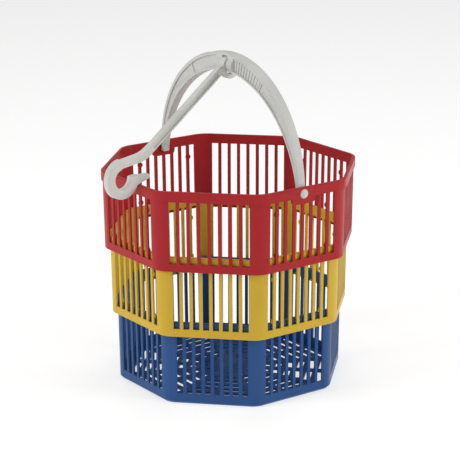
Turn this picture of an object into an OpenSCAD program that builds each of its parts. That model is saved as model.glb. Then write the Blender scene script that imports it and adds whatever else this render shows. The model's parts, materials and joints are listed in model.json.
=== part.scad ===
// Nesting three-tier carrying basket with a swinging bail and a hanging hook.
// The origin is the centre of the base's underside, with +Z up and the bail's pivots on the X axis.

/* [Tiers] */
// Across-flats width of the top rim
rim_width = 270; // [230:1:320]
// Height of the bottom tier
bottom_height = 94; // [80:1:120]
// Height of the middle tier
middle_height = 90; // [76:1:115]
// Height of the top tier
top_height = 88; // [76:1:115]
// Wall thickness of every tier
wall = 2; // [1.6:0.1:2.4]
// How far each wall leans outward over its height
wall_lean = 1.2; // [0.6:0.1:2]
// Rounding of the rim's eight corners
corner_round = 25; // [18:1:32]
// How much larger the corners' flat-to-corner offset grows in each lower tier
corner_step = 1.5; // [0:0.5:2]
// How far the two lower rim bands stand out from their walls
rim_out = 2.3; // [1.8:0.1:2.8]
// How far the top rim band stands out from its wall
top_rim_out = 1.5; // [1.2:0.1:2.4]
// Height of each rim band
rim_height = 11; // [9:0.5:13]
// Height of the plain band at the foot of the two upper tiers
foot_band = 8.5; // [7:0.5:11]
// Height of the plain band at the foot of the bottom tier
base_band = 11.5; // [9:0.5:14]
// Gap between a rim band and the tier that slides over it
slide_gap = 1; // [0.8:0.1:1.4]
// Thickness of the inner lip that catches the rim below
lip_height = 3.6; // [3:0.1:4]
// Gap between a lip and the wall that it slides on
lip_gap = 0.6; // [0.4:0.1:0.8]
// Height that separates a lip from the rim that rests on it
lip_rest = 0.4; // [0.3:0.1:0.6]

/* [Slots] */
// Slots in each of the eight faces
slots_per_face = 8; // [6:1:9]
// Width of the bars between two slots
bar_width = 3.7; // [3:0.1:4.5]
// Plain width left at each end of a face's straight part
slot_margin = 2; // [1:0.5:4]
// Diameter of the round snap stops on the bars
pip_diameter = 6.3; // [5:0.1:7]
// How far a snap stop stands inward
pip_proud = 0.7; // [0.4:0.1:0.7]
// Distance from the rim band down to the upper snap stops
pip_drop = 14; // [10:1:18]
// Distance from the foot band up to the lower snap stops
pip_rise = 9.5; // [7:0.5:14]

/* [Base] */
// Thickness of the base lattice
base_thickness = 3; // [2.4:0.1:4]
// Distance from one lattice bar to the next
lattice_pitch = 12.5; // [11:0.5:15]
// Width of the lattice bars
lattice_bar = 5.5; // [4:0.5:7]
// Width of the spokes
spoke_width = 6; // [4:0.5:8]
// Diameter of the solid hub
hub_diameter = 40; // [30:1:50]
// Width of the plain border round the lattice
edge_band = 7; // [5:0.5:9]
// Bevel of the base's lower outer edge
base_bevel = 2.4; // [1.5:0.1:3]

/* [Bail] */
// Height of the pivots below the rim's top
pivot_drop = 7; // [6:0.5:9]
// Rise of the arch's top above the pivots
arch_rise = 130.5; // [115:0.5:140]
// Depth of the arch at its top
arch_depth = 20; // [16:0.5:24]
// Thickness of the legs at the pivots
leg_thickness = 4.8; // [4:0.1:6]
// Width of the arch at the pivots
leg_width = 8; // [7.5:0.5:10]
// Width of the arch at its top
arch_width = 11.5; // [10:0.5:14]
// Thickness of the arch's roof over the ring
outer_flange = 2.6; // [2.4:0.1:4]
// Width of the plain border outside the web's recess
side_border = 3.6; // [2.6:0.1:5]
// Thickness of the arch's inner flange
inner_flange = 2; // [1.6:0.1:3]
// Depth of the recess on each side of the web
web_recess = 2; // [1.6:0.1:4]
// How far each leg runs on below its pivot
leg_drop = 5; // [4.5:0.5:8]
// Gap between a leg and the wall beside it
leg_gap = 0.6; // [0.4:0.1:1]
// Distance of the end ribs from the middle of the grip
grip_reach = 68; // [50:1:80]
// Distance from one grip rib to the next
grip_pitch = 5; // [4:0.5:7]
// Thickness of a grip rib
grip_rib = 1.8; // [1:0.1:2]
// Height of a grip rib above the web
rib_height = 0.8; // [0.6:0.1:1.2]
// Width of the pad that carries each pivot
pad_width = 30; // [24:1:36]
// Height of each pivot pad
pad_height = 18; // [16:1:22]
// Diameter of the rivets' shanks
rivet_diameter = 5; // [4:0.5:6]
// Diameter of the rivets' round heads
rivet_head = 10.4; // [9:0.2:13]
// Height of the rivets' round heads
rivet_crown = 2.2; // [1.5:0.1:3]
// Radial clearance of a rivet in the leg that turns on it
turn_fit = 0.06; // [0.02:0.01:0.1]

/* [Hook] */
// Angle at which the hook arm hangs off the arch's plane
hook_yaw = 8; // [6:0.5:9]
// Depth of the shaft
shaft_depth = 8.8; // [7:0.1:10]
// Distance of the shaft's middle line above the ring's centre
shaft_offset = 6.6; // [4:0.1:8]
// Thickness of the hook arm
arm_thickness = 6.4; // [5:0.1:6.6]
// Thickness of the shaft's two flanges
shaft_flange = 2; // [1.6:0.1:3]
// Thickness of the web between the shaft's two recesses
shaft_web = 2.8; // [2:0.1:4]
// Plain length at each end of the shaft
shaft_end = 6; // [4:1:12]
// Outer diameter of the ring on the pin
ring_diameter = 25.2; // [24:0.2:27]
// Diameter of the ring's hole
ring_hole = 15; // [13:0.5:16]
// Gap between the ring and the flange over it
ring_clear = 1; // [0.8:0.1:2]
// Diameter of the pin through the ring
pin_diameter = 8; // [6:0.5:9]
// Gap above the pin in the ring's hole
pin_gap = 0.3; // [0.2:0.1:0.5]
// Width of the slot in the arch that holds the ring
ring_slot = 9.6; // [9.4:0.1:11]
// Outer radius of the hook's eye
eye_radius = 21.4; // [19:0.1:23]
// Width of the eye's curved section
eye_section = 10.4; // [9:0.1:11]
// Gap between the eye and the side of the rim
eye_gap = 1; // [0.6:0.1:4]
// Height of the eye's centre above the rim
eye_lift = 9.5; // [7:0.5:12]
// Inner radius of the bend between the shaft and the eye
bend_radius = 30.6; // [16:0.2:36]
// Slope of the stretch between the bend and the eye
reach_angle = 6; // [3:0.5:10]
// Length of the stretch between the bend and the eye
reach_length = 23.7; // [20:0.1:27]
// How far the finger's tip lies from the eye's centre
finger_reach = 37; // [34:1:41]
// How far the finger's middle line lies below the eye's centre
finger_drop = 2.5; // [1:0.5:4]
// Thickness of the finger at its tip
finger_depth = 5.4; // [4:0.1:7]
// Gap between the resting finger and the rim
finger_rest = 0.4; // [0.3:0.1:1]

/* [Hidden] */
$fn = 96;

faces = 8;
face_angle = 360 / faces;
half_face = face_angle / 2;
// How far a cutter runs past what it cuts.
poke = 1;
// How far a flat side runs into a corner, and how much thicker the corner is on each side.
corner_key = 1.5;
corner_grow = 0.12;
rim_bevel = 0.7;
// Width of the ledge inside the bottom tier's foot, which the base lattice fills.
floor_ledge = 2.5;
// How deep a snap stop is rooted in its bar.
pip_root = 1;
// Straight steps round each corner of the base lattice.
plate_steps = 8;

// Each tier is [foot height, height, wall radius at the foot, corner radius, foot band].
// A radius here is measured from the axis square to a face.
top_foot_r = rim_width / 2 - top_rim_out - wall_lean;
top_rim_r = rim_width / 2;
middle_rim_r = top_foot_r - wall - slide_gap;
middle_foot_r = middle_rim_r - rim_out - wall_lean;
bottom_rim_r = middle_foot_r - wall - slide_gap;
bottom_foot_r = bottom_rim_r - rim_out - wall_lean;
tier_overlap = lip_height + lip_rest + rim_height;
bottom_corner_r = bottom_foot_r + wall_lean - corner_round + 2 * corner_step;
middle_z = bottom_height - tier_overlap;
top_z = middle_z + middle_height - tier_overlap;
rim_z = top_z + top_height;

pivot_z = rim_z - pivot_drop;
wall_inner_at_pivot = top_foot_r + wall_lean - wall - wall_lean * pivot_drop / top_height;
leg_outer = wall_inner_at_pivot - leg_gap;
leg_inner = leg_outer - leg_thickness;
arch_top = pivot_z + arch_rise;
arch_under = arch_rise - arch_depth;
outer_arc = arc_radius(leg_outer, arch_rise);
inner_arc = arc_radius(leg_inner, arch_under);
outer_arc_z = arch_top - outer_arc;
inner_arc_z = arch_top - arch_depth - inner_arc;
recess_start = 26;
crown_steps = 6;
// How far the end ribs stay below the flanges.
end_rib_drop = 0.6;
leg_round = 1.5;
// Half length of the solid block that holds the pin, at the arch's top.
cheek = 15;

ring_z = arch_top - outer_flange - ring_clear - ring_diameter / 2;
pin_z = ring_z + ring_hole / 2 - pin_diameter / 2 - pin_gap;
pin_set_back = 3;
pin_length = 2 * (cheek - pin_set_back);
pin_wall = 4.5;
pin_boss = pin_diameter + 2 * pin_wall;
pad_round = 4;
pad_proud = 0.9;

// The arm is set out in its own plane from the ring's centre: along is outward, rise is up.
// Taking the stretch and the bend off the eye's place leaves the shaft's length and slope.
eye_middle = eye_radius - eye_section / 2;
eye_out = sqrt(eye_radius * eye_radius - eye_lift * eye_lift)
    + arm_thickness / 2 * tan(hook_yaw) + eye_gap;
bend_middle = bend_radius + shaft_depth / 2;
eye_along = rim_width / 2 / cos(hook_yaw) + eye_out;
eye_rise = rim_z + eye_lift - ring_z;
left_along = eye_along + eye_middle * sin(reach_angle) - reach_length * cos(reach_angle)
    + bend_middle * sin(reach_angle);
left_rise = eye_rise + eye_middle * cos(reach_angle) + reach_length * sin(reach_angle)
    + bend_middle * cos(reach_angle);
shaft_length = sqrt(
    left_along * left_along + left_rise * left_rise
    - (shaft_offset + bend_middle) * (shaft_offset + bend_middle));
shaft_angle = atan2(shaft_offset + bend_middle, shaft_length) - atan2(left_rise, left_along);

// Radius of an arc that spans a half width at a rise, or of a half circle where the rise is more.
function arc_radius(half_width, rise) =
    rise > half_width ? half_width : (half_width * half_width + rise * rise) / (2 * rise);

// Radius of a wall's outer side at a height above its foot.
function wall_r(foot_r, height, z) = foot_r + wall_lean * z / height;

// Outline of an open tier's wall as [radius, height] points, thicker by grow on both sides.
function open_profile(foot_r, rim_r, height, lip_r, grow) =
    let (under_rim = height - rim_height)
    [
        [lip_r - grow, 0],
        [foot_r + grow, 0],
        [wall_r(foot_r, height, under_rim) + grow, under_rim],
        [rim_r + grow, under_rim],
        [rim_r + grow, height - rim_bevel],
        [rim_r + grow - rim_bevel, height],
        [foot_r + wall_lean - wall - grow, height],
        [wall_r(foot_r, height, lip_height) - wall - grow, lip_height - grow],
        [lip_r - grow, lip_height - grow]
    ];

// The same for the bottom tier, whose foot turns inward to meet the floor.
function floor_profile(foot_r, rim_r, height, grow) =
    let (under_rim = height - rim_height)
    [
        [foot_r - wall - floor_ledge - grow, 0],
        [foot_r + grow - base_bevel, 0],
        [foot_r + grow, base_bevel],
        [wall_r(foot_r, height, under_rim) + grow, under_rim],
        [rim_r + grow, under_rim],
        [rim_r + grow, height - rim_bevel],
        [rim_r + grow - rim_bevel, height],
        [foot_r + wall_lean - wall - grow, height],
        [wall_r(foot_r, height, base_thickness) - wall - grow, base_thickness - grow],
        [foot_r - wall - floor_ledge - grow, base_thickness - grow]
    ];

// Sweeps a wall round the rounded octagon: each flat side is keyed into a slightly thicker corner.
module swept(side_points, corner_points, corner_r)
{
    straight = 2 * corner_r * tan(half_face) + 2 * corner_key;
    for (k = [0 : faces - 1]) {
        rotate([0, 0, k * face_angle]) {
            translate([0, straight / 2, 0])
                rotate([90, 0, 0])
                    linear_extrude(height = straight)
                        polygon(side_points);
            translate([corner_r, straight / 2 - corner_key, 0])
                rotate_extrude(angle = face_angle)
                    polygon([for (p = corner_points) [p[0] - corner_r, p[1]]]);
        }
    }
}

// Upright slots through every face of one tier.
module face_slots(foot_r, corner_r, from_z, to_z)
{
    straight = 2 * corner_r * tan(half_face);
    pitch = (straight - 2 * slot_margin + bar_width) / slots_per_face;
    for (k = [0 : faces - 1]) {
        rotate([0, 0, k * face_angle]) {
            for (i = [0 : slots_per_face - 1]) {
                middle = (i - (slots_per_face - 1) / 2) * pitch;
                translate([foot_r - wall - 2 * poke, middle - (pitch - bar_width) / 2, from_z])
                    cube([wall + wall_lean + 4 * poke, pitch - bar_width, to_z - from_z]);
            }
        }
    }
}

// Round snap stops on the outer bars of every second face, at one height.
module pips(foot_r, corner_r, height, z)
{
    straight = 2 * corner_r * tan(half_face);
    pitch = (straight - 2 * slot_margin + bar_width) / slots_per_face;
    inner = wall_r(foot_r, height, z) - wall;
    for (k = [0 : 2 : faces - 1]) {
        for (side = [-1, 1]) {
            rotate([0, 0, k * face_angle])
                translate([inner - pip_proud, side * (slots_per_face / 2 - 1) * pitch, z])
                    rotate([0, 90, 0])
                        cylinder(h = pip_proud + pip_root, d = pip_diameter, $fn = 32);
        }
    }
}

// A slotted tier that is open below, standing at the height zero.
module open_tier(foot_r, rim_r, height, corner_r, lip_r)
{
    under_rim = height - rim_height;
    difference() {
        swept(
            open_profile(foot_r, rim_r, height, lip_r, 0),
            open_profile(foot_r, rim_r, height, lip_r, corner_grow),
            corner_r);
        face_slots(foot_r, corner_r, foot_band, under_rim);
    }
    pips(foot_r, corner_r, height, under_rim - pip_drop);
    pips(foot_r, corner_r, height, foot_band + pip_rise);
}

// The bottom tier's wall, with the ledge round its floor.
module closed_tier(foot_r, rim_r, height, corner_r)
{
    under_rim = height - rim_height;
    difference() {
        swept(
            floor_profile(foot_r, rim_r, height, 0),
            floor_profile(foot_r, rim_r, height, corner_grow),
            corner_r);
        face_slots(foot_r, corner_r, base_band, under_rim);
    }
}

// Outline of an octagon with rounded corners, at a radius square to its sides.
function rounded_octagon(r, corner_r) = [
    for (k = [0 : faces - 1])
        for (step = [0 : plate_steps])
            let (
                middle = k * face_angle + half_face,
                a = (k + step / plate_steps) * face_angle,
                round = r - corner_r
            )
            [
                corner_r / cos(half_face) * cos(middle) + round * cos(a),
                corner_r / cos(half_face) * sin(middle) + round * sin(a)
            ]
];

// Floor lattice: bars along each side, with spokes to the corners and to the sides' middles.
module base_lattice(foot_r, corner_r)
{
    plate_r = foot_r - wall - floor_ledge - corner_grow;
    hub_r = hub_diameter / 2;
    gap = lattice_pitch - lattice_bar;
    rows = floor((plate_r - edge_band - hub_r) / lattice_pitch);
    difference() {
        linear_extrude(height = base_thickness)
            polygon(rounded_octagon(plate_r, corner_r));
        for (k = [0 : faces - 1]) {
            for (row = [0 : rows - 1]) {
                inner_x = plate_r - edge_band - gap - row * lattice_pitch;
                reach = inner_x * tan(half_face) - spoke_width / 2 / cos(half_face) - spoke_width / 2;
                for (side = [0, 1]) {
                    rotate([0, 0, k * face_angle])
                        mirror([0, side, 0])
                            translate([inner_x, spoke_width / 2, -poke])
                                cube([gap, reach, base_thickness + 2 * poke]);
                }
            }
        }
    }
}

// The solid pad round one pivot, drawn on the +X side.
module pivot_pad()
{
    inner = top_foot_r + wall_lean - wall;
    thick = wall + pad_proud;
    low = rim_z - pad_height;
    translate([inner, -pad_width / 2, low + pad_round])
        cube([thick, pad_width, pad_height - pad_round - poke]);
    translate([inner, -pad_width / 2 + pad_round, low])
        cube([thick, pad_width - 2 * pad_round, pad_round + poke]);
    for (side = [-1, 1]) {
        translate([inner, side * (pad_width / 2 - pad_round), low + pad_round])
            rotate([0, 90, 0])
                cylinder(h = thick, r = pad_round, $fn = 48);
    }
}

module blue_bottom_tier()
{
    color([0.16, 0.33, 0.65])
        closed_tier(bottom_foot_r, bottom_rim_r, bottom_height, bottom_corner_r);
}

module blue_base_lattice()
{
    color([0.16, 0.33, 0.65])
        base_lattice(bottom_foot_r, bottom_corner_r);
}

module yellow_middle_tier()
{
    corner_r = middle_foot_r + wall_lean - corner_round + corner_step;
    lip_r = bottom_foot_r + wall_lean + lip_gap;
    color([0.88, 0.74, 0.16])
        translate([0, 0, middle_z])
            open_tier(middle_foot_r, middle_rim_r, middle_height, corner_r, lip_r);
}

module red_top_tier()
{
    corner_r = top_foot_r + wall_lean - corner_round;
    lip_r = middle_foot_r + wall_lean + lip_gap;
    color([0.72, 0.1, 0.14]) {
        difference() {
            union() {
                translate([0, 0, top_z])
                    open_tier(top_foot_r, top_rim_r, top_height, corner_r, lip_r);
                for (side = [0, 1]) {
                    mirror([side, 0, 0])
                        pivot_pad();
                }
            }
            translate([-rim_width, 0, pivot_z])
                rotate([0, 90, 0])
                    cylinder(h = 2 * rim_width, d = rivet_diameter);
        }
    }
}

// A disc whose flat faces look along Y, which runs straight down where it stands above the pivots.
module arch_disc(radius, middle_z, width)
{
    translate([0, width / 2, middle_z])
        rotate([90, 0, 0])
            cylinder(h = width, r = radius, $fn = 180);
    if (middle_z > pivot_z)
        translate([-radius, -width / 2, pivot_z - poke])
            cube([2 * radius, width, middle_z - pivot_z + poke]);
}

// The crescent between two arcs, above a height.
module crescent(outer_r, outer_z, inner_r, inner_z, width, low_z)
{
    intersection() {
        difference() {
            arch_disc(outer_r, outer_z, width);
            arch_disc(inner_r, inner_z, width + 2 * poke);
        }
        translate([-rim_width, -width, low_z])
            cube([2 * rim_width, 2 * width, rim_width]);
    }
}

// The recess on the +Y side of the web, less its end ribs and the low grip ribs on its -X half.
module web_pocket()
{
    depth = web_recess + poke;
    difference() {
        translate([0, arch_width / 2 - web_recess + depth / 2, 0])
            crescent(
                outer_arc - side_border, outer_arc_z,
                inner_arc + inner_flange, inner_arc_z,
                depth, pivot_z + recess_start);
        translate([-cheek, -arch_width, arch_top - 2 * arch_depth])
            cube([2 * cheek, 2 * arch_width, 3 * arch_depth]);
        for (x = [cheek + grip_pitch : grip_pitch : grip_reach - grip_pitch / 2])
            web_rib(-x, web_recess - rib_height);
        for (side = [-1, 1])
            web_rib(side * grip_reach, end_rib_drop);
    }
}

// One rib on the +Y side of the web, square to the outer arc, sunk below the arch's side.
module web_rib(x, sunk)
{
    translate([0, 0, outer_arc_z])
        rotate([0, asin(x / outer_arc), 0])
            translate([-grip_rib / 2, 0, outer_arc - 2 * arch_depth])
                cube([grip_rib, arch_width / 2 - sunk, 2 * arch_depth]);
}

// The rounded lower end of the leg on the +X side.
module leg_end()
{
    low = pivot_z - leg_drop;
    translate([leg_inner, -leg_width / 2, low + leg_round])
        cube([leg_thickness, leg_width, leg_drop - leg_round + poke]);
    translate([leg_inner, leg_round - leg_width / 2, low])
        cube([leg_thickness, leg_width - 2 * leg_round, leg_round + poke]);
    for (side = [-1, 1]) {
        translate([leg_inner, side * (leg_width / 2 - leg_round), low + leg_round])
            rotate([0, 90, 0])
                cylinder(h = leg_thickness, r = leg_round, $fn = 48);
    }
}

module bail_handle()
{
    color([0.82, 0.83, 0.8]) {
        difference() {
            union() {
                intersection() {
                    crescent(outer_arc, outer_arc_z, inner_arc, inner_arc_z, arch_width, pivot_z);
                    rotate([90, 0, 90])
                        linear_extrude(height = 2 * rim_width, center = true)
                            polygon([
                                [-leg_width / 2, pivot_z - poke],
                                [leg_width / 2, pivot_z - poke],
                                [arch_width / 2, arch_top - arch_depth],
                                [arch_width / 2, arch_top + poke],
                                [-arch_width / 2, arch_top + poke],
                                [-arch_width / 2, arch_top - arch_depth]
                            ]);
                }
                for (side = [0, 1]) {
                    mirror([side, 0, 0])
                        leg_end();
                }
                intersection() {
                    translate([0, 0, pin_z])
                        rotate([0, 90, 0])
                            cylinder(h = 2 * cheek, d = pin_boss, center = true);
                    arch_disc(outer_arc, outer_arc_z, 2 * arch_width);
                }
            }
            web_pocket();
            rotate([0, 0, 180])
                web_pocket();
            translate([-ring_slot / 2, -2 * arch_width, arch_top - 2 * arch_depth])
                cube([ring_slot, 4 * arch_width, 2 * arch_depth - outer_flange]);
            translate([0, 0, pin_z])
                rotate([0, 90, 0])
                    cylinder(h = pin_length, d = pin_diameter, center = true);
            translate([-rim_width, 0, pivot_z])
                rotate([0, 90, 0])
                    cylinder(h = 2 * rim_width, d = rivet_diameter + 2 * turn_fit);
        }
    }
}

// One rivet: a crowned head outside, and a shank that ends flush with the leg's inner side.
module rivet()
{
    outside = rim_width / 2;
    head_r = rivet_head / 2;
    crown_r = (head_r * head_r + rivet_crown * rivet_crown) / (2 * rivet_crown);
    crown_angle = asin(head_r / crown_r);
    translate([0, 0, pivot_z])
        rotate([0, 90, 0])
            rotate_extrude()
                polygon(concat(
                    [
                        [0, leg_inner],
                        [rivet_diameter / 2, leg_inner],
                        [rivet_diameter / 2, outside]
                    ],
                    [
                        for (step = [0 : crown_steps])
                            let (a = crown_angle * (1 - step / crown_steps))
                            [crown_r * sin(a), outside + rivet_crown - crown_r * (1 - cos(a))]
                    ]));
}

module pivot_rivets()
{
    color([0.9, 0.9, 0.88]) {
        for (side = [0, 1]) {
            mirror([side, 0, 0])
                rivet();
        }
    }
}

// Places the hook arm's own plane: X outward along the arm, Y up, Z through its thickness.
module arm_plane()
{
    translate([0, 0, ring_z])
        rotate([0, 0, hook_yaw - 90])
            rotate([90, 0, 0])
                children();
}

// A curved bar of rectangular section in the arm's plane, a little thicker than a straight one.
module arc_bar(middle_r, depth, from_angle, sweep)
{
    thick = arm_thickness + 2 * corner_grow;
    rotate([0, 0, from_angle])
        rotate_extrude(angle = sweep)
            translate([middle_r - depth / 2 - corner_grow, -thick / 2])
                square([depth + 2 * corner_grow, thick]);
}

// The straight shaft from the ring to the bend, recessed on both sides between two flanges.
module shaft()
{
    start = ring_diameter / 2 - shaft_flange;
    deep = (arm_thickness - shaft_web) / 2;
    recess_from = ring_diameter / 2 + shaft_end;
    recess_to = shaft_length - shaft_end;
    rotate([0, 0, -shaft_angle])
        translate([0, shaft_offset - shaft_depth / 2, 0]) {
            difference() {
                translate([start, 0, -arm_thickness / 2])
                    cube([shaft_length - start + corner_key, shaft_depth, arm_thickness]);
                for (side = [-1, 1]) {
                    translate([recess_from, shaft_flange, side * arm_thickness / 2 - deep])
                        cube([recess_to - recess_from, shaft_depth - 2 * shaft_flange, 2 * deep]);
                }
            }
        }
}

// The finger that closes the eye and rests on the rim, set out from the eye's centre.
module finger()
{
    half = finger_depth / 2;
    tip = finger_reach - half;
    heel = (eye_radius + eye_middle) / 2 * cos(face_angle);
    linear_extrude(height = arm_thickness, center = true)
        polygon([
            [-heel, -heel],
            [-eye_out, finger_rest - eye_lift],
            [-tip, -half - finger_drop],
            [-tip, half - finger_drop],
            [-eye_middle, half - finger_drop]
        ]);
    translate([-tip, -finger_drop, 0])
        cylinder(h = arm_thickness, d = finger_depth, center = true, $fn = 48);
}

module hook_arm()
{
    turn = shaft_angle - reach_angle;
    eye_from = -184;
    color([0.85, 0.86, 0.83])
        arm_plane() {
            difference() {
                union() {
                    cylinder(h = arm_thickness + 2 * corner_grow, d = ring_diameter, center = true);
                    shaft();
                }
                cylinder(h = arm_thickness + 2 * poke, d = ring_hole, center = true);
            }
            rotate([0, 0, -shaft_angle])
                translate([shaft_length, shaft_offset + bend_middle, 0])
                    arc_bar(bend_middle, shaft_depth, -90, turn);
            translate([eye_along, eye_rise, 0]) {
                arc_bar(eye_middle, eye_section, eye_from, 90 - reach_angle - eye_from);
                rotate([0, 0, -reach_angle])
                    translate([-reach_length - corner_key, eye_middle - shaft_depth / 2, -arm_thickness / 2])
                        cube([reach_length + 2 * corner_key, shaft_depth, arm_thickness]);
                finger();
            }
        }
}

module hook_pin()
{
    color([0.8, 0.8, 0.78])
        translate([0, 0, pin_z])
            rotate([0, 90, 0])
                cylinder(h = pin_length, d = pin_diameter, center = true);
}

blue_bottom_tier();
blue_base_lattice();
yellow_middle_tier();
red_top_tier();
bail_handle();
pivot_rivets();
hook_arm();
hook_pin();
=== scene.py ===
"""Dresses the nesting carrying basket: moulded plastic shells, an arched bail and a hanging hook."""

import json
import logging
import math
from dataclasses import dataclass, field
from enum import Enum

import bpy
from mathutils import Matrix, Vector

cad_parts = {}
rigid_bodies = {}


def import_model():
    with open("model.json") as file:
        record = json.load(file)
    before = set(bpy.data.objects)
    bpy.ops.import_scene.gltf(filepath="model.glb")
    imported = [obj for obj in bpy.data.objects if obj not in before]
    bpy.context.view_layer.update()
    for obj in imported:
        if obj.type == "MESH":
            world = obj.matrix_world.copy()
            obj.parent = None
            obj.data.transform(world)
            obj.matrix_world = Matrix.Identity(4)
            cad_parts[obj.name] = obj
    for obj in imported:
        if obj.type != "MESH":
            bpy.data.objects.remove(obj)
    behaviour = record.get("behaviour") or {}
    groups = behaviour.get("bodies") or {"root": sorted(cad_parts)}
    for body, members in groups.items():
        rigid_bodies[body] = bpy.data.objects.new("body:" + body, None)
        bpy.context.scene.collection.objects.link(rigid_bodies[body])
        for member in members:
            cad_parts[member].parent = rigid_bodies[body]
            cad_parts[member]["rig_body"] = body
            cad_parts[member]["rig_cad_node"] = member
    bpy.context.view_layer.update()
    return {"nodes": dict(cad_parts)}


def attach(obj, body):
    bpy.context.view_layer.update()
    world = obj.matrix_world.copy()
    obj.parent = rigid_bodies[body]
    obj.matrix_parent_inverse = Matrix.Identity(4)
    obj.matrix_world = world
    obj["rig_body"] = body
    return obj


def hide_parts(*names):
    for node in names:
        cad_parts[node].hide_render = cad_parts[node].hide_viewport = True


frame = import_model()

log = logging.getLogger("basket")

MM = 0.001

# Sockets of the colour mix node, whose names repeat.
MIX_SHARE = 0
MIX_FIRST = 6
MIX_SECOND = 7
MIX_RESULT = 2


def direction(azimuth: float, elevation: float) -> Vector:
    """Gives the direction from the basket towards a camera or a light.

    Args:
        azimuth: Degrees round from the front.
        elevation: Degrees above level.

    Returns:
        A unit vector.
    """
    a = math.radians(azimuth)
    e = math.radians(elevation)
    return Vector((math.sin(a) * math.cos(e), -math.cos(a) * math.cos(e), math.sin(e)))


def new_material(name: str) -> tuple[bpy.types.Material, bpy.types.NodeTree, bpy.types.Node]:
    """Starts a node material.

    Args:
        name: The material's name.

    Returns:
        The material, its nodes and its surface shader.
    """
    material = bpy.data.materials.new(name)
    material.use_nodes = True
    tree = material.node_tree
    shader = next(n for n in tree.nodes if n.type == "BSDF_PRINCIPLED")
    return material, tree, shader


class Body(Enum):
    """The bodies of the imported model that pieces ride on."""

    BOTTOM = "bottom"
    MIDDLE = "middle"
    TOP = "top"
    BAIL = "bail"
    HOOK = "hook"


class Gloss(Enum):
    """How a mould's polish leaves the surface, as a mean roughness."""

    POLISHED = 0.24
    SATIN = 0.33
    FINE_MATT = 0.44


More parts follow.
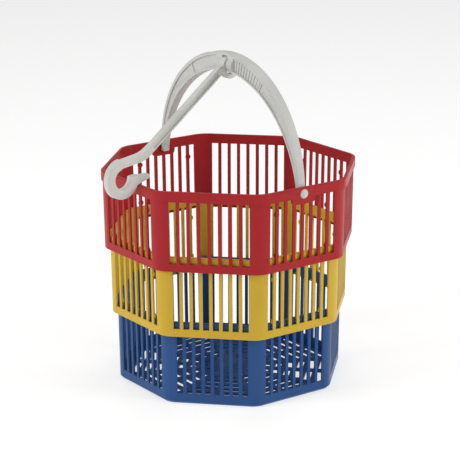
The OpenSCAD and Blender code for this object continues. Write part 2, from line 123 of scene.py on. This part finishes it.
@dataclass(frozen=True)
class MouldedPlastic:
    """A coloured polypropylene as it leaves the mould, with a little handling wear.

    A scale is in features per metre, a height is in metres, and colours are linear.
    """

    name: str
    slot: str
    colour: tuple[float, float, float]
    deep: tuple[float, float, float]
    worn: tuple[float, float, float]
    gloss: Gloss = Gloss.SATIN
    cloud_scale: float = 22.0
    cloud_flow: tuple[float, float, float] = (1.0, 1.0, 0.45)
    cloud_span: tuple[float, float] = (0.35, 0.68)
    rub_span: tuple[float, float] = (0.53, 0.62)
    rub_most: float = 0.35
    grain_scale: float = 1500.0
    grain_height: float = 0.04 * MM
    grain_strength: float = 0.35
    ripple_scale: float = 48.0
    ripple_height: float = 0.6 * MM
    ripple_strength: float = 0.3
    scuff_scale: float = 260.0
    scuff_flow: tuple[float, float, float] = (1.0, 1.0, 0.12)
    scuff_span: tuple[float, float] = (0.4, 0.75)
    scuff_polish: float = 0.03
    scuff_amount: float = 0.16
    refraction: float = 1.49
    glow: float = 0.06
    glow_radius: float = 0.9
    glow_depth: float = 1.5 * MM
    shine: float = 0.2

    def build(self) -> bpy.types.Material:
        """Makes the node material.

        Returns:
            The finished material.
        """
        material, tree, shader = new_material(self.name)
        place = tree.nodes.new("ShaderNodeTexCoord").outputs["Object"]
        self._colour(tree, shader, place)
        self._roughness(tree, shader, place)
        self._bump(tree, shader, place)
        shader.inputs["IOR"].default_value = self.refraction
        shader.inputs["Specular IOR Level"].default_value = self.shine
        shader.inputs["Subsurface Weight"].default_value = self.glow
        shader.inputs["Subsurface Radius"].default_value = (self.glow_radius,) * 3
        shader.inputs["Subsurface Scale"].default_value = self.glow_depth
        return material

    def _noise(
        self,
        tree: bpy.types.NodeTree,
        place: bpy.types.NodeSocket,
        scale: float,
        detail: float,
        stretch: tuple[float, float, float] = (1.0, 1.0, 1.0),
    ) -> bpy.types.NodeSocket:
        """Adds a noise pattern fixed to the object.

        Args:
            tree: The material's nodes.
            place: The object coordinates.
            scale: Features per metre.
            detail: How many finer layers it has.
            stretch: How much finer the pattern is along each axis.

        Returns:
            The pattern's value, from 0 to 1.
        """
        mapping = tree.nodes.new("ShaderNodeMapping")
        mapping.inputs["Scale"].default_value = stretch
        tree.links.new(place, mapping.inputs["Vector"])
        noise = tree.nodes.new("ShaderNodeTexNoise")
        noise.inputs["Scale"].default_value = scale
        noise.inputs["Detail"].default_value = detail
        tree.links.new(mapping.outputs["Vector"], noise.inputs["Vector"])
        return noise.outputs["Fac"]

    def _ramp(
        self,
        tree: bpy.types.NodeTree,
        value: bpy.types.NodeSocket,
        span: tuple[float, float],
        to_low: float,
        to_high: float,
    ) -> bpy.types.NodeSocket:
        """Maps a value from one range to another, with its ends held.

        Args:
            tree: The material's nodes.
            value: The value to map.
            span: Where the value starts to count, and where it counts in full.
            to_low: The result at the span's start.
            to_high: The result at its end.

        Returns:
            The mapped value.
        """
        ramp = tree.nodes.new("ShaderNodeMapRange")
        ramp.inputs["From Min"].default_value = span[0]
        ramp.inputs["From Max"].default_value = span[1]
        ramp.inputs["To Min"].default_value = to_low
        ramp.inputs["To Max"].default_value = to_high
        tree.links.new(value, ramp.inputs["Value"])
        return ramp.outputs["Result"]

    def _mix(
        self,
        tree: bpy.types.NodeTree,
        share: bpy.types.NodeSocket,
        first: bpy.types.NodeSocket | tuple[float, float, float],
        second: tuple[float, float, float],
    ) -> bpy.types.NodeSocket:
        """Blends two colours.

        Args:
            tree: The material's nodes.
            share: How much of the second colour shows.
            first: The colour at a share of 0.
            second: The colour at a share of 1.

        Returns:
            The blended colour.
        """
        mix = tree.nodes.new("ShaderNodeMix")
        mix.data_type = "RGBA"
        tree.links.new(share, mix.inputs[MIX_SHARE])
        if isinstance(first, tuple):
            mix.inputs[MIX_FIRST].default_value = (*first, 1.0)
        else:
            tree.links.new(first, mix.inputs[MIX_FIRST])
        mix.inputs[MIX_SECOND].default_value = (*second, 1.0)
        return mix.outputs[MIX_RESULT]

    def _colour(
        self,
        tree: bpy.types.NodeTree,
        shader: bpy.types.Node,
        place: bpy.types.NodeSocket,
    ) -> None:
        """Clouds the pigment a little, and pales the edges that rub.

        Args:
            tree: The material's nodes.
            shader: The surface shader.
            place: The object coordinates.
        """
        cloud = self._noise(tree, place, self.cloud_scale, 3.0, self.cloud_flow)
        share = self._ramp(tree, cloud, self.cloud_span, 0.0, 1.0)
        pigment = self._mix(tree, share, self.deep, self.colour)
        edge = tree.nodes.new("ShaderNodeNewGeometry").outputs["Pointiness"]
        rub = self._ramp(tree, edge, self.rub_span, 0.0, self.rub_most)
        worn = self._mix(tree, rub, pigment, self.worn)
        tree.links.new(worn, shader.inputs["Base Color"])

    def _roughness(
        self,
        tree: bpy.types.NodeTree,
        shader: bpy.types.Node,
        place: bpy.types.NodeSocket,
    ) -> None:
        """Varies the gloss with faint scuffs that run up the walls.

        Args:
            tree: The material's nodes.
            shader: The surface shader.
            place: The object coordinates.
        """
        scuffs = self._noise(tree, place, self.scuff_scale, 4.0, self.scuff_flow)
        smoothest = self.gloss.value - self.scuff_polish
        roughest = self.gloss.value + self.scuff_amount
        rough = self._ramp(tree, scuffs, self.scuff_span, smoothest, roughest)
        tree.links.new(rough, shader.inputs["Roughness"])

    def _bump(
        self,
        tree: bpy.types.NodeTree,
        shader: bpy.types.Node,
        place: bpy.types.NodeSocket,
    ) -> None:
        """Adds the mould's fine grain, and the slow ripple of cooled plastic.

        Args:
            tree: The material's nodes.
            shader: The surface shader.
            place: The object coordinates.
        """
        grain = self._noise(tree, place, self.grain_scale, 2.0)
        fine = tree.nodes.new("ShaderNodeBump")
        fine.inputs["Strength"].default_value = self.grain_strength
        fine.inputs["Distance"].default_value = self.grain_height
        tree.links.new(grain, fine.inputs["Height"])
        ripple = self._noise(tree, place, self.ripple_scale, 1.0)
        slow = tree.nodes.new("ShaderNodeBump")
        slow.inputs["Strength"].default_value = self.ripple_strength
        slow.inputs["Distance"].default_value = self.ripple_height
        tree.links.new(ripple, slow.inputs["Height"])
        tree.links.new(fine.outputs["Normal"], slow.inputs["Normal"])
        tree.links.new(slow.outputs["Normal"], shader.inputs["Normal"])


@dataclass(frozen=True)
class StudioCard:
    """The plain pale card that the basket stands on."""

    name: str = "pale_card"
    colour: tuple[float, float, float] = (0.52, 0.52, 0.517)
    roughness: float = 0.85
    shine: float = 0.2
    tooth_scale: float = 420.0
    tooth_height: float = 0.2 * MM
    tooth_strength: float = 0.1
    lift: float = 0.58

    def build(self) -> bpy.types.Material:
        """Makes a matt pale card with a fine tooth.

        Returns:
            The finished material.
        """
        material, tree, shader = new_material(self.name)
        shader.inputs["Base Color"].default_value = (*self.colour, 1.0)
        shader.inputs["Roughness"].default_value = self.roughness
        shader.inputs["Specular IOR Level"].default_value = self.shine
        shader.inputs["Emission Color"].default_value = (1.0, 1.0, 1.0, 1.0)
        shader.inputs["Emission Strength"].default_value = self.lift
        place = tree.nodes.new("ShaderNodeTexCoord").outputs["Object"]
        tooth = tree.nodes.new("ShaderNodeTexNoise")
        tooth.inputs["Scale"].default_value = self.tooth_scale
        tree.links.new(place, tooth.inputs["Vector"])
        bump = tree.nodes.new("ShaderNodeBump")
        bump.inputs["Strength"].default_value = self.tooth_strength
        bump.inputs["Distance"].default_value = self.tooth_height
        tree.links.new(tooth.outputs["Fac"], bump.inputs["Height"])
        tree.links.new(bump.outputs["Normal"], shader.inputs["Normal"])
        return material


def deselect_all() -> None:
    """Leaves object mode with nothing selected."""
    if bpy.context.object and bpy.context.object.mode != "OBJECT":
        bpy.ops.object.mode_set(mode="OBJECT")
    bpy.ops.object.select_all(action="DESELECT")


def pick(piece: bpy.types.Object) -> None:
    """Makes one object the selected and active one.

    Args:
        piece: The object to pick.
    """
    deselect_all()
    piece.select_set(True)
    bpy.context.view_layer.objects.active = piece


def apply_modifier(piece: bpy.types.Object, modifier: bpy.types.Modifier) -> None:
    """Applies a modifier to its object's mesh.

    Args:
        piece: The object.
        modifier: The modifier to apply.
    """
    pick(piece)
    bpy.ops.object.modifier_apply(modifier=modifier.name)


def smooth_by_angle(piece: bpy.types.Object, degrees: float) -> None:
    """Shades a piece smooth, with the sharp corners left sharp.

    Args:
        piece: The object.
        degrees: The angle past which an edge stays sharp.
    """
    pick(piece)
    bpy.ops.object.shade_smooth_by_angle(angle=math.radians(degrees))


@dataclass
class MouldedPart:
    """A moulded piece whose edges are eased as a mould leaves them.

    It starts from the shape of its node, which holds every size, and softens each sharp edge.
    """

    node: str
    body: Body
    finish: MouldedPlastic
    edge_radius: float = 0.5 * MM
    edge_steps: int = 2
    sharp_over: float = 28.0
    smooth_under: float = 40.0
    merge_within: float = 0.01 * MM
    flat_within: float = 0.4

    def copy_of_node(self) -> bpy.types.Object:
        """Copies the node's shape as clean faces.

        Returns:
            A new object with its own mesh, merged and with flat faces whole.
        """
        pick(frame["nodes"][self.node])
        bpy.ops.object.duplicate()
        piece = bpy.context.object
        piece.parent = None
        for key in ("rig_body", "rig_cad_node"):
            if key in piece:
                del piece[key]
        piece.name = f"{self.node}_moulding"
        piece.data.name = piece.name
        pick(piece)
        bpy.ops.object.mode_set(mode="EDIT")
        bpy.ops.mesh.select_all(action="SELECT")
        bpy.ops.mesh.remove_doubles(threshold=self.merge_within)
        bpy.ops.mesh.customdata_custom_splitnormals_clear()
        bpy.ops.mesh.dissolve_limited(angle_limit=math.radians(self.flat_within))
        bpy.ops.object.mode_set(mode="OBJECT")
        return piece

    def ease_edges(self, piece: bpy.types.Object) -> None:
        """Rounds every sharp edge by the mould's radius.

        Args:
            piece: The object to soften.
        """
        bevel = piece.modifiers.new("eased_edges", "BEVEL")
        bevel.width = self.edge_radius
        bevel.segments = self.edge_steps
        bevel.limit_method = "ANGLE"
        bevel.angle_limit = math.radians(self.sharp_over)
        bevel.use_clamp_overlap = True
        bevel.harden_normals = False
        apply_modifier(piece, bevel)

    def build(self) -> bpy.types.Object:
        """Makes, dresses and mounts the piece.

        Returns:
            The finished object.
        """
        piece = self.copy_of_node()
        self.ease_edges(piece)
        smooth_by_angle(piece, self.smooth_under)
        piece.data.materials.clear()
        piece.data.materials.append(self.finish.build())
        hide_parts(self.node)
        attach(piece, self.body.value)
        log.info("%s: %d faces", piece.name, len(piece.data.polygons))
        return piece


@dataclass(frozen=True)
class Softbox:
    """A square soft light aimed at the basket.

    Its side is degrees round from the camera, positive to the camera's right. Its height is
    degrees above level, its reach and size are in metres, and its power is in watts.
    """

    name: str
    side: float
    height: float
    reach: float
    size: float
    power: float


KEY = Softbox("key_softbox", side=-64.0, height=30.0, reach=2.0, size=0.8, power=16.0)
FILL = Softbox("fill_softbox", side=72.0, height=24.0, reach=2.2, size=0.9, power=19.0)
OVERHEAD = Softbox("top_softbox", side=170.0, height=68.0, reach=2.4, size=1.8, power=14.0)


@dataclass
class Studio:
    """The pale card, the soft lights and the camera."""

    target: Vector = field(default_factory=lambda: Vector((0.0, 0.0, 0.135)))
    azimuth: float = 54.45
    elevation: float = 17.02
    roll: float = -0.26
    distance: float = 2.0736
    lens: float = 144.2
    shift_up: float = 0.0533
    sensor_width: float = 36.0
    sees_to: float = 40.0
    card_width: float = 27.0
    room_light: float = 0.4

    def build_camera(self) -> bpy.types.Object:
        """Places the camera.

        Returns:
            The camera object.
        """
        back = direction(self.azimuth, self.elevation)
        right = Vector((0.0, 0.0, 1.0)).cross(back).normalized()
        up = back.cross(right)
        turn = Matrix.Rotation(math.radians(self.roll), 3, back)
        facing = Matrix((turn @ right, turn @ up, back)).transposed().to_4x4()
        data = bpy.data.cameras.new("basket_view")
        data.lens = self.lens
        data.sensor_width = self.sensor_width
        data.shift_y = self.shift_up
        data.clip_end = self.sees_to
        camera = bpy.data.objects.new("basket_view", data)
        bpy.context.scene.collection.objects.link(camera)
        camera.matrix_world = Matrix.Translation(self.target + back * self.distance) @ facing
        bpy.context.scene.camera = camera
        return camera

    def build_card(self) -> bpy.types.Object:
        """Lays the pale card as one wide level floor.

        Returns:
            The card object.
        """
        deselect_all()
        bpy.ops.mesh.primitive_plane_add(size=1.0, location=(0.0, 0.0, 0.0))
        card = bpy.context.object
        card.name = "pale_floor"
        bpy.ops.object.mode_set(mode="EDIT")
        bpy.ops.mesh.select_all(action="SELECT")
        bpy.ops.transform.resize(value=(self.card_width, self.card_width, 1.0))
        bpy.ops.object.mode_set(mode="OBJECT")
        card.data.materials.append(StudioCard().build())
        return card

    def add_softbox(self, box: Softbox) -> None:
        """Adds one soft light aimed at the basket.

        Args:
            box: The light to add.
        """
        back = direction(self.azimuth + box.side, box.height)
        data = bpy.data.lights.new(box.name, "AREA")
        data.shape = "SQUARE"
        data.size = box.size
        data.energy = box.power
        light = bpy.data.objects.new(box.name, data)
        bpy.context.scene.collection.objects.link(light)
        light.matrix_world = (
            Matrix.Translation(self.target + back * box.reach)
            @ back.to_track_quat("Z", "Y").to_matrix().to_4x4()
        )

    def light_room(self) -> None:
        """Fills the room with an even pale light, and shows colours as they are."""
        world = bpy.data.worlds.new("pale_room")
        world.use_nodes = True
        sky = world.node_tree.nodes["Background"]
        sky.inputs["Color"].default_value = (1.0, 1.0, 1.0, 1.0)
        sky.inputs["Strength"].default_value = self.room_light
        bpy.context.scene.world = world
        view = bpy.context.scene.view_settings
        view.view_transform = "Standard"
        view.look = "None"
        view.exposure = 0.0

    def build(self) -> None:
        """Builds the camera, the card and the lights."""
        self.build_camera()
        self.build_card()
        for box in (KEY, FILL, OVERHEAD):
            self.add_softbox(box)
        self.light_room()


BLUE = MouldedPlastic(
    name="blue_polypropylene",
    slot="blue_plastic",
    colour=(0.009, 0.055, 0.20),
    deep=(0.006, 0.042, 0.16),
    worn=(0.045, 0.12, 0.31),
)
YELLOW = MouldedPlastic(
    name="yellow_polypropylene",
    slot="yellow_plastic",
    colour=(0.60, 0.38, 0.010),
    deep=(0.52, 0.32, 0.007),
    worn=(0.66, 0.48, 0.08),
    glow=0.3,
)
RED = MouldedPlastic(
    name="red_polypropylene",
    slot="red_plastic",
    colour=(0.37, 0.004, 0.008),
    deep=(0.30, 0.002, 0.005),
    worn=(0.46, 0.035, 0.04),
    glow=0.12,
)
HANDLE_WHITE = MouldedPlastic(
    name="handle_off_white",
    slot="handle_plastic",
    colour=(0.56, 0.565, 0.54),
    deep=(0.49, 0.495, 0.47),
    worn=(0.65, 0.65, 0.625),
    gloss=Gloss.FINE_MATT,
    grain_scale=1100.0,
    grain_height=0.06 * MM,
)
HOOK_WHITE = MouldedPlastic(
    name="hook_off_white",
    slot="hook_plastic",
    colour=(0.63, 0.635, 0.60),
    deep=(0.55, 0.555, 0.52),
    worn=(0.72, 0.72, 0.69),
    gloss=Gloss.FINE_MATT,
    grain_scale=1100.0,
    grain_height=0.05 * MM,
)
RIVET_WHITE = MouldedPlastic(
    name="rivet_white",
    slot="rivet_plastic",
    colour=(0.60, 0.60, 0.57),
    deep=(0.54, 0.54, 0.51),
    worn=(0.70, 0.70, 0.67),
    gloss=Gloss.POLISHED,
)


def main() -> None:
    """Builds the studio and every piece of the basket."""
    logging.basicConfig(level=logging.INFO, format="%(name)s: %(message)s")
    Studio().build()
    parts = [
        MouldedPart("blue_bottom_tier", Body.BOTTOM, BLUE),
        MouldedPart("blue_base_lattice", Body.BOTTOM, BLUE),
        MouldedPart("yellow_middle_tier", Body.MIDDLE, YELLOW),
        MouldedPart("red_top_tier", Body.TOP, RED),
        MouldedPart("bail_handle", Body.BAIL, HANDLE_WHITE, edge_radius=0.45 * MM),
        MouldedPart("pivot_rivets", Body.TOP, RIVET_WHITE, edge_radius=0.3 * MM),
        MouldedPart("hook_arm", Body.HOOK, HOOK_WHITE, edge_radius=0.9 * MM, edge_steps=3),
        MouldedPart("hook_pin", Body.BAIL, HANDLE_WHITE),
    ]
    for part in parts:
        part.build()
    deselect_all()
    log.info("sizes written")


if __name__ == "__main__":
    main()
